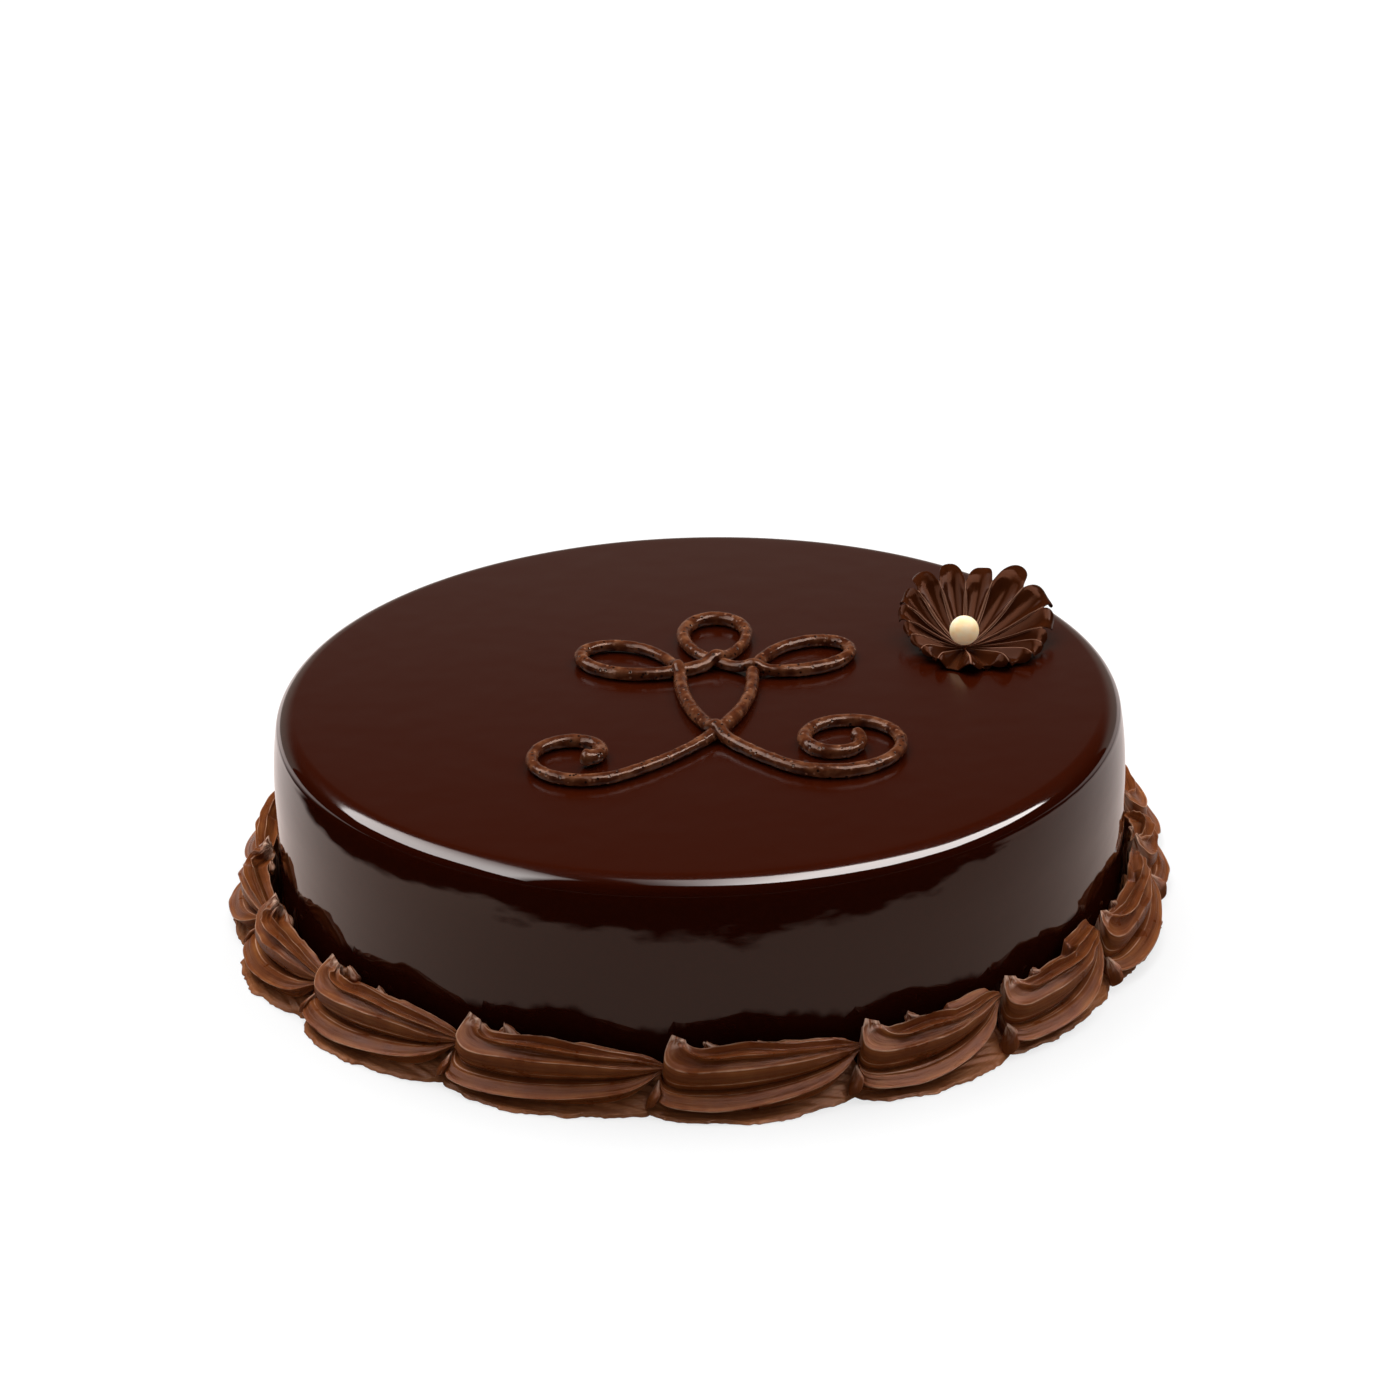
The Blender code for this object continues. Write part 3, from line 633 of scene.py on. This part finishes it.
def scrollGrid():
    # a round bead carried along the line, sunk a little into the glaze, with
    # a swell at both ends; where it meets an earlier stretch it rides over it
    line, run = scrollLine()
    half = scroll["width"] / 2
    gaps = np.hypot(line[:, None, 0] - line[None, :, 0], line[:, None, 1] - line[None, :, 1])
    apart = np.arange(len(line))[:, None] - np.arange(len(line))[None, :] > 6 / scroll["step"]
    closest = np.where(apart, gaps, 99).min(1)
    over = 1.5 * np.exp(-(closest / 2.6) ** 2)
    ends = np.exp(-(run / 4.5) ** 2) + np.exp(-((run[-1] - run) / 4.5) ** 2)
    size = half * (0.92 + 0.3 * (roughField(run / 16, 0 * run, 81) - 0.5) + 0.30 * ends)
    toEnd = np.clip(np.minimum(run, run[-1] - run) / 1.8, 0, 1)
    capRound = np.sqrt(np.clip(1 - (1 - toEnd) ** 2, 0.02, 1))
    size = size * capRound
    ahead = np.gradient(line, axis=0)
    ahead /= np.linalg.norm(ahead, axis=1, keepdims=True)
    side = np.stack([-ahead[:, 1], ahead[:, 0]], 1)
    p = circle(scroll["sides"])
    draw = np.random.default_rng(82)
    pitRun = draw.uniform(0, run[-1], scroll["pits"])
    pitTurn = draw.uniform(-0.5, np.pi + 0.5, scroll["pits"])
    pitSize = draw.uniform(0.22, 0.5, scroll["pits"])
    runAt, turnAt = np.meshgrid(run / 1.6, p / (2 * np.pi) * 7, indexing="ij")
    skin = 1 + 0.07 * (roughField(runAt, turnAt, 83) - 0.5)
    dip = np.zeros_like(skin)
    for spot, turn, wide in zip(pitRun, pitTurn, pitSize):
        near = np.abs(run - spot) < 1.6
        d2 = (run[near, None] - spot) ** 2 + (half * (p[None, :] - turn)) ** 2
        dip[near] += 0.16 * np.exp(-d2 / (wide * 0.6) ** 2)
    bead = size[:, None] * (skin - dip.clip(0, 0.2))
    outward, upward = bead * np.cos(p)[None, :] * 1.02, bead * np.sin(p)[None, :] * 0.98
    middle = cake["height"] + half * 0.86 * capRound ** 0.5 + over + 0.9 * ends
    z = np.maximum(middle[:, None] + upward, cake["height"] - 0.25)
    x = line[:, 0:1] + side[:, 0:1] * outward
    y = line[:, 1:2] + side[:, 1:2] * outward
    return np.stack([x, y, z], -1), run


grid, run = scrollGrid()
bead = loftBody(grid, np.linspace(0, 11, scroll["sides"] + 1), run)
piece = makePiece("pipedScroll", [bead], gelMaterial())
fit(piece, "piped_cocoa_gel", "scroll")
print("scroll made")

# the ruffled chocolate fan, in mm
fan = {
    "centre": (64.5, 20.6), "lobePoints": 44, "rows": 68,
    # for each lobe: degrees, reach and height of its rim, degrees that the rim
    # rolls outward, depth of its scoop, and power of the notches beside it
    "lobes": [(-3, 20.6, 3.2, 95, 2.4, 2.0), (14, 24.4, 6.6, 130, 1.9, 2.2),
              (31, 26.6, 11.2, 140, 1.7, 2.2), (51, 22.4, 15.6, 50, 2.2, 2.0),
              (73, 18.8, 14.6, 50, 1.9, 2.2), (97, 19.2, 15.2, 45, 2.2, 2.2),
              (119, 20.6, 14.4, 75, 1.8, 2.2), (134, 21.4, 10.6, 135, 1.7, 2.2),
              (148, 19.6, 7.4, 150, 1.9, 2.2), (165, 15.6, 4.6, 130, 2.2, 2.0),
              (193, 13.0, 3.0, 120, 2.4, 2.0), (224, 12.6, 2.4, 110, 2.8, 2.0),
              (253, 13.2, 0.9, 30, 4.0, 2.0), (292, 15.4, 2.3, 115, 4.2, 2.0),
              (319, 18.2, 2.6, 120, 2.8, 2.0), (340, 20.0, 3.0, 110, 2.4, 2.0)],
    "rollFrom": 0.8, "thick": 0.55}


def chocolateMaterial():
    # tempered chocolate shaved into a ruffle: close satin gloss, fine drag
    # lines running out from the pinched middle, folds painted with a paler line, a painted highlight
    mat, tree, shader = newMaterial("chocolateShaved", Roughness=0.13, IOR=1.45, Specular_IOR_Level=0.045,
                                    Specular_Tint=(1.0, 0.45, 0.27, 1.0))
    grain = addNode(tree, "UVMap", {"uv_map": "grain"}).outputs["UV"]
    where = addNode(tree, "TexCoord").outputs["Object"]
    drawn = addNode(tree, "Mapping", {"Scale": (0.12, 1.6, 1.0)}, {"Vector": grain})
    fine = addNode(tree, "TexNoise", {"Scale": 1.0, "Detail": 3.0}, {"Vector": drawn})
    patch = addNode(tree, "TexNoise", {"Scale": 120.0, "Detail": 2.0}, {"Vector": where})
    both = addNode(tree, "Mix", {"data_type": "FLOAT", 0: 0.5}, {2: fine, 3: patch})
    colour = addNode(tree, "ValToRGB", {"stops": [(0.3, "2c1004"), (0.7, "3d1a09")]}, {0: both})
    across = addNode(tree, "SeparateXYZ", None, {0: grain}).outputs["Y"]
    toFold = addNode(tree, "Math", {"operation": "PINGPONG", 1: 2.0}, {0: across})
    foldHighlight = addNode(tree, "MapRange", {"From Min": 0.2, "From Max": 0.45, "To Min": 0.8, "To Max": 0.0},
                   {"Value": toFold})
    paint = addNode(tree, "Mix", {"data_type": "RGBA", 7: "a07560"}, {0: foldHighlight, 6: colour})
    lift = addNode(tree, "Bump", {"Strength": 0.3, "Distance": 0.00015}, {"Height": fine})
    plug(tree, shader, {"Base Color": paint.outputs[2], "Normal": lift})
    return mat


def fanGrid():
    # a ruffled sheet round the pearl. Each radial line rises as s^p to its
    # lobe's rim, then rolls outward along an arc; it is pushed along its own
    # normal by depth (edge - 1/2), edge = |2t|^1.7 behind, where the folds are
    # sharp, and sin^2(pi t) in front; t = 0 in a lobe and 0.5 at a fold. Folds
    # end short of the lobes, so that the rim is scalloped
    lobes = np.array(fan["lobes"], float)
    count = len(lobes)
    x = np.linspace(-1, 1, fan["lobePoints"], endpoint=False)
    t = np.tile(0.5 * np.sin(np.pi / 2 * x), count)
    phase = np.repeat(np.arange(count), fan["lobePoints"]) + t
    knots = np.arange(-2, count + 2)
    around = np.array([360, 0, 0, 0, 0, 0])
    table = np.vstack([lobes[-2:] - around, lobes, lobes[:2] + around])
    turn, reach, rise, roll, rimDepth, point = (eased(knots, table[:, k], phase) for k in range(6))
    low = 1 - np.clip((rise - 1.5) / 4, 0, 1)          # 1 for the flat front lobes
    edge = (1 - low) * np.abs(2 * t) ** 1.7 + low * np.sin(np.pi * t) ** 2
    theta = np.radians(turn)
    s = np.linspace(0, 1, fan["rows"])[:, None] ** 0.9
    shared = s * (1 - (0.22 - 0.16 * low) * np.abs(2 * t) ** point * s ** 2)
    bend = 1.25 + 0.35 * np.clip(rise / 13, 0, 1)
    start = fan["rollFrom"]

    def line(q):
        return 1.6 + (reach - 1.6) * q, 0.9 + rise * q ** bend

    q = np.minimum(shared, start)
    r, z = line(q)
    slope = np.arctan2(rise * bend * np.maximum(q, 0.02) ** (bend - 1), reach - 1.6)
    over = np.clip(shared - start, 0, None)
    length = np.hypot(reach - 1.6, rise * bend)
    full = np.radians(roll)
    bent = full * (over / (1 - start))
    radius = length * (1 - start) / full
    r = r + radius * (np.sin(bent) * np.cos(slope) + (1 - np.cos(bent)) * np.sin(slope))
    z = z + radius * (np.sin(bent) * np.sin(slope) - (1 - np.cos(bent)) * np.cos(slope))
    ahead = slope - bent
    depth = (0.3 + (rimDepth - 0.3) * s ** 0.75) * (1 - (0.7 - 0.7 * low) * easeStep(0.7, 1.0, s))
    bead = 0.22 * np.exp(-((1 - np.abs(2 * t)) / 0.05) ** 2) * (1 - low) * np.clip(s / 0.2, 0, 1)
    push = depth * (edge - 0.5) + bead
    r = r - push * np.sin(ahead)
    z = z + push * np.cos(ahead)
    wave = 0.5 * (roughField(theta / (2 * np.pi) * 9 + 0 * s, s * 2.2, 92, 9) - 0.5) * s
    z = np.maximum(z + wave, 0.65)
    r = np.maximum(r, 1.2)
    upper = turned(r, theta, z) + np.array([*fan["centre"], cake["height"]])
    # the sheet's own normals give its underside
    along, around = np.gradient(upper, axis=0), np.roll(upper, -1, 1) - np.roll(upper, 1, 1)
    normal = np.cross(along, around)
    normal /= np.maximum(np.linalg.norm(normal, axis=-1, keepdims=True), 1e-9)
    thick = fan["thick"] * (0.55 + 0.45 * np.sin(np.pi * np.clip(s, 0, 1)))[..., None]
    lower = upper + normal * thick * np.sign(-normal[fan["rows"] // 2, :, 2].mean())
    lower[..., 2] = np.maximum(lower[..., 2], cake["height"] + 0.02)
    middle = (upper[-1] + lower[-1]) / 2
    beyond = upper[-1] - upper[-2]
    middle = middle + 0.14 * beyond / np.maximum(np.linalg.norm(beyond, axis=1, keepdims=True), 1e-9)
    middle[:, 2] = np.maximum(middle[:, 2], cake["height"] + 0.1)
    return np.concatenate([upper, middle[None], lower[::-1]])


rings = fanGrid()
outThenBack = np.concatenate([np.linspace(0, 18, fan["rows"]), [18.5], np.linspace(18, 0, fan["rows"])])
fourPerLobe = np.linspace(0, 4.0 * len(fan["lobes"]), rings.shape[1] + 1)
piece = makePiece("chocolateFan", [loftBody(rings, fourPerLobe, outThenBack)], chocolateMaterial())
fit(piece, "dark_milk_chocolate", "flower")
print("fan made")

# the sugar pearl, in mm
pearl = {"size": 7.1, "at": (64.5, 20.6, 57.65)}


def pearlMaterial():
    # a panned sugar pearl: thin shellac over cream-coloured sugar, faintly
    # mottled where the coats built up unevenly; a faint warm glow is painted light that lifts its shaded
    # underside
    mat, tree, shader = newMaterial("sugarPearlPanned", Roughness=0.42, IOR=1.45, Specular_IOR_Level=0.12,
                                    Subsurface_Weight=0.8, Subsurface_Scale=0.004,
                                    Subsurface_Radius=(1.0, 0.8, 0.55),
                                    Emission_Color=(1.0, 0.74, 0.46, 1.0), Emission_Strength=0.13)
    where = addNode(tree, "TexCoord").outputs["Object"]
    patch = addNode(tree, "TexNoise", {"Scale": 420.0, "Detail": 3.0}, {"Vector": where})
    colour = addNode(tree, "ValToRGB", {"stops": [(0.35, "f6d4a0"), (0.65, "fbe6c8")]}, {0: patch})
    lift = addNode(tree, "Bump", {"Strength": 0.12, "Distance": 0.0001}, {"Height": patch})
    plug(tree, shader, {"Base Color": colour, "Normal": lift})
    return mat


def pearlGrid():
    # a ball over its two angles, out of round by one part in a hundred
    t, p = np.meshgrid(np.linspace(0.05, np.pi - 0.05, 60), circle(84), indexing="ij")
    r = pearl["size"] / 2 * (1 + 0.012 * (roughField(p / (2 * np.pi) * 6, t * 2, 91, 6) - 0.5))
    return turned(r * np.sin(t), p, r * np.cos(t)) + np.array(pearl["at"])


fit(makePiece("sugarPearl", [loftBody(pearlGrid())], pearlMaterial()), "sugar_pearl", "pearl")
print("pearl made")

# the studio
studio = {"sky": 0.34, "mirroredSky": 0.008, "key": 3.0, "bounce": 0.42}


def stageMesh(name, points, faces, mat, onlyReflected=True):
    # a thing of the studio; most are seen by reflections alone
    mesh = bpy.data.meshes.new(name)
    mesh.from_pydata(np.reshape(points, (-1, 3)).tolist(), [], faces)
    mesh.materials.append(mat)
    obj = bpy.data.objects.new(name, mesh)
    scene.collection.objects.link(obj)
    if onlyReflected:
        obj.visible_camera = obj.visible_diffuse = obj.visible_shadow = False
        obj.visible_transmission = obj.visible_volume_scatter = False
    return obj


def glowMaterial(name, tint, axis, low, high, atLow, atHigh, also=None):
    # a glow that eases from one strength to another along one axis, and up
    # from nothing along a second
    mat, tree = emptyMaterial(name)
    parts = addNode(tree, "SeparateXYZ", None, {0: addNode(tree, "TexCoord").outputs["Object"]})
    power = addNode(tree, "MapRange", smooth | {"From Min": low, "From Max": high, "To Min": atLow,
                                                "To Max": atHigh}, {"Value": parts.outputs[axis]})
    if also:
        rise = addNode(tree, "MapRange", smooth | {"From Min": also[1], "From Max": also[2]},
                       {"Value": parts.outputs[also[0]]})
        power = addNode(tree, "Math", {"operation": "MULTIPLY"}, {0: power, 1: rise})
    shine = addNode(tree, "Emission", {"Color": tint}, {"Strength": power})
    addNode(tree, "OutputMaterial", None, {"Surface": shine})
    return mat


def floorGlow():
    # what the glaze sees low down: pale floor close to the cake, warmed by the
    # cream beside it and brightest on the left, then darkness past a torn
    # edge; behind the cake the floor runs on, whiter
    mat, tree = emptyMaterial("tableGlow")
    where = addNode(tree, "TexCoord").outputs["Object"]
    parts = addNode(tree, "SeparateXYZ", None, {0: where})
    bright = addNode(tree, "MapRange", smooth | {"From Min": -0.26, "From Max": -0.04, "To Min": 1.3,
                                                 "To Max": 0.82}, {"Value": parts.outputs["X"]})
    squeezed = addNode(tree, "Mapping", {"Scale": (0.735, 1.0, 1.0)}, {"Vector": where})
    away = addNode(tree, "VectorMath", {"operation": "LENGTH"}, {0: squeezed})
    torn = addNode(tree, "TexNoise", {"Scale": 21.0, "Detail": 3.0, "Roughness": 0.5}, {"Vector": where})
    shift = addNode(tree, "MapRange", {"From Min": 0.25, "From Max": 0.75, "To Min": -0.032,
                                       "To Max": 0.032}, {"Value": torn})
    place = addNode(tree, "Math", {"operation": "ADD"}, {0: away.outputs["Value"], 1: shift})
    nearIt = addNode(tree, "MapRange", {"From Min": 0.192, "From Max": 0.213, "To Min": 1.0, "To Max": 0.0},
                     {"Value": place})
    back = addNode(tree, "MapRange", smooth | {"From Min": 0.05, "From Max": 0.22},
                   {"Value": parts.outputs["Y"]})
    leftward = addNode(tree, "Math", {"operation": "MULTIPLY_ADD", 1: 0.15},
                       {0: shift, 2: parts.outputs["X"]})
    leftEnd = addNode(tree, "MapRange", {"From Min": -0.194, "From Max": -0.184}, {"Value": leftward})
    bounded = addNode(tree, "Math", {"operation": "MULTIPLY"}, {0: nearIt, 1: leftEnd})
    seen = addNode(tree, "Math", {"operation": "MAXIMUM"}, {0: bounded, 1: back})
    power = addNode(tree, "Math", {"operation": "MULTIPLY"}, {0: seen, 1: bright})
    whiter = addNode(tree, "MapRange", smooth | {"From Min": -0.14, "From Max": 0.12},
                     {"Value": parts.outputs["Y"]})
    tint = addNode(tree, "Mix", {"data_type": "RGBA", 6: (1, 0.71, 0.58, 1), 7: (1.1, 0.96, 0.92, 1)},
                   {0: whiter})
    shine = addNode(tree, "Emission", None, {"Color": tint.outputs[2], "Strength": power})
    addNode(tree, "OutputMaterial", None, {"Surface": shine})
    return mat


def floorCard():
    # a ring of floor round the cake, for reflections only
    grid = turned(np.array([[0.119], [3.0]]), circle(128), 0.0004)
    stageMesh("tableGlow", grid, gridFaces(2, 128)[0].tolist(), floorGlow())


def borderShade():
    # the wet wall mirrors the unlit back of the border: a black ring seen by
    # reflections only, as high as the crests, feathered along its top
    count = 2400
    theta = circle(count)
    here, share, _ = placeInShells(theta)
    # a crest out from the wall is mirrored higher by the view's slope, 0.453
    out, up = (eased(crest["at"], crest[k][2], share) for k in ("out", "up"))
    top = (up + 0.453 * (out - 1.2)) * np.array(border["lift"])[here]
    top = np.convolve(np.pad(top, 45, mode="wrap"), np.ones(91) / 91, "valid")
    ragged = sum(size * roughField(theta / (2 * np.pi) * cells, 0 * theta, seed, cells)
                 for size, cells, seed in ((2.4, 50, 94), (1.4, 130, 95), (0.9, 250, 96)))
    heights = np.stack([0 * theta, top + ragged - 2.2, top + ragged + 1.0])
    grid = turned((wall + 1.2) * mm, theta, heights * mm)
    mat, tree = emptyMaterial("borderShade")
    veil = addNode(tree, "Attribute", {"attribute_name": "veil"})
    where = addNode(tree, "TexCoord").outputs["Object"]
    wisps = addNode(tree, "TexNoise", {"Scale": 260.0, "Detail": 3.0}, {"Vector": where})
    total = addNode(tree, "Math", {"operation": "ADD"}, {0: veil.outputs["Fac"], 1: wisps})
    thick = addNode(tree, "MapRange", smooth | {"From Min": 0.55, "From Max": 1.3}, {"Value": total})
    clear, black = addNode(tree, "BsdfTransparent"), addNode(tree, "Emission", {"Strength": 0.0})
    both = addNode(tree, "MixShader", None, {0: thick, 1: clear, 2: black})
    addNode(tree, "OutputMaterial", None, {"Surface": both})
    obj = stageMesh("borderShade", grid, gridFaces(3, count)[0].tolist(), mat)
    layer = obj.data.attributes.new("veil", "FLOAT", "POINT")
    layer.data.foreach_set("value", np.repeat([1.0, 1.0, 0.0], count))


def tableMaterial():
    # a white floor, burnt out but for a soft contact shadow; what it throws
    # back on the cream is held down for contrast
    paint, tree = emptyMaterial("paleTable")
    path = addNode(tree, "LightPath")
    lit = addNode(tree, "BsdfDiffuse", {"Color": (0.85, 0.85, 0.85, 1)})
    white = addNode(tree, "Emission", {"Color": (1, 1, 1, 1), "Strength": 1.0})
    seen = addNode(tree, "MixShader", {0: 0.28}, {1: white, 2: lit})
    dim = addNode(tree, "BsdfDiffuse", {"Color": (studio["bounce"],) * 3 + (1,)})
    both = addNode(tree, "MixShader", None, {0: path.outputs["Is Camera Ray"], 1: dim, 2: seen})
    addNode(tree, "OutputMaterial", None, {"Surface": both})
    return paint


def addStudio():
    corners = [(-6, -6, -0.0002), (6, -6, -0.0002), (6, 6, -0.0002), (-6, 6, -0.0002)]
    stageMesh("paleFloor", corners, [(0, 1, 2, 3)], tableMaterial(), onlyReflected=False)
    floorCard()
    borderShade()
    warm = (1, 0.95, 0.93, 1)
    # each card's tint, fade and corners
    cards = {
        "leftPanel": ((warm, "Z", 0.8, 2.4, 13.0, 4.0, ("Y", -1.1, -0.75)),
                      [(-1.0, -1.0, 0.5), (-1.0, -0.5, 0.68), (-1.0, 0.2, 0.5), (-1.0, 0.42, 0.58),
                       (-1.0, 0.78, 1.0), (-1.0, 1.15, 1.7), (-1.0, 1.1, 2.3), (-1.0, -1.0, 2.3)]),
        "rightPanel": ((warm, "X", -0.3, 0.55, 1.5, 24.0),
                       [(-0.3, -0.8, 1.5), (0.3, -1.1, 1.5), (1.5, -1.1, 1.5), (2.3, -0.7, 1.5),
                        (2.6, 0.3, 1.5), (2.6, 0.9, 1.5), (2.0, 0.8, 1.5), (1.35, 0.35, 1.5),
                        (1.1, 0.05, 1.5), (-0.3, 0.05, 1.5)]),
        "backSweep": (((1, 0.93, 0.82, 1), "Z", 0.3, 0.6, 0.36, 0.01),
                      [(-1.2, 1.0, 0.0), (1.2, 1.0, 0.0), (1.2, 1.0, 1.1), (-1.2, 1.0, 1.1)])}
    for name, (glow, points) in cards.items():
        stageMesh(name, points, [tuple(range(len(points)))], glowMaterial(name, *glow))
    suns = {"keySun": ((-24, -20, 0), 1.0, 45), "fillSun": ((-24, 32, 0), 0.63, 50)}
    for name, (turn, power, wide) in suns.items():
        data = bpy.data.lights.new(name, "SUN")
        data.energy = studio["key"] * power
        data.angle = math.radians(wide)
        sun = bpy.data.objects.new(name, data)
        sun.rotation_euler = [math.radians(v) for v in turn]
        sun.visible_glossy = False
        scene.collection.objects.link(sun)
    world = bpy.data.worlds.new("studioRoom")
    scene.world = world
    world.use_nodes = True
    tree = world.node_tree
    tree.nodes.clear()
    path = addNode(tree, "LightPath")
    soft, white, dim = (addNode(tree, "Background", {"Color": (1, 1, 1, 1), "Strength": power})
                        for power in (studio["sky"], 1.0, studio["mirroredSky"]))
    seen = addNode(tree, "MixShader", None, {0: path.outputs["Is Camera Ray"], 1: soft, 2: white})
    both = addNode(tree, "MixShader", None, {0: path.outputs["Is Glossy Ray"], 1: seen, 2: dim})
    addNode(tree, "OutputWorld", None, {"Surface": both})


addStudio()
scene.view_settings.view_transform = "Standard"
print("studio set")
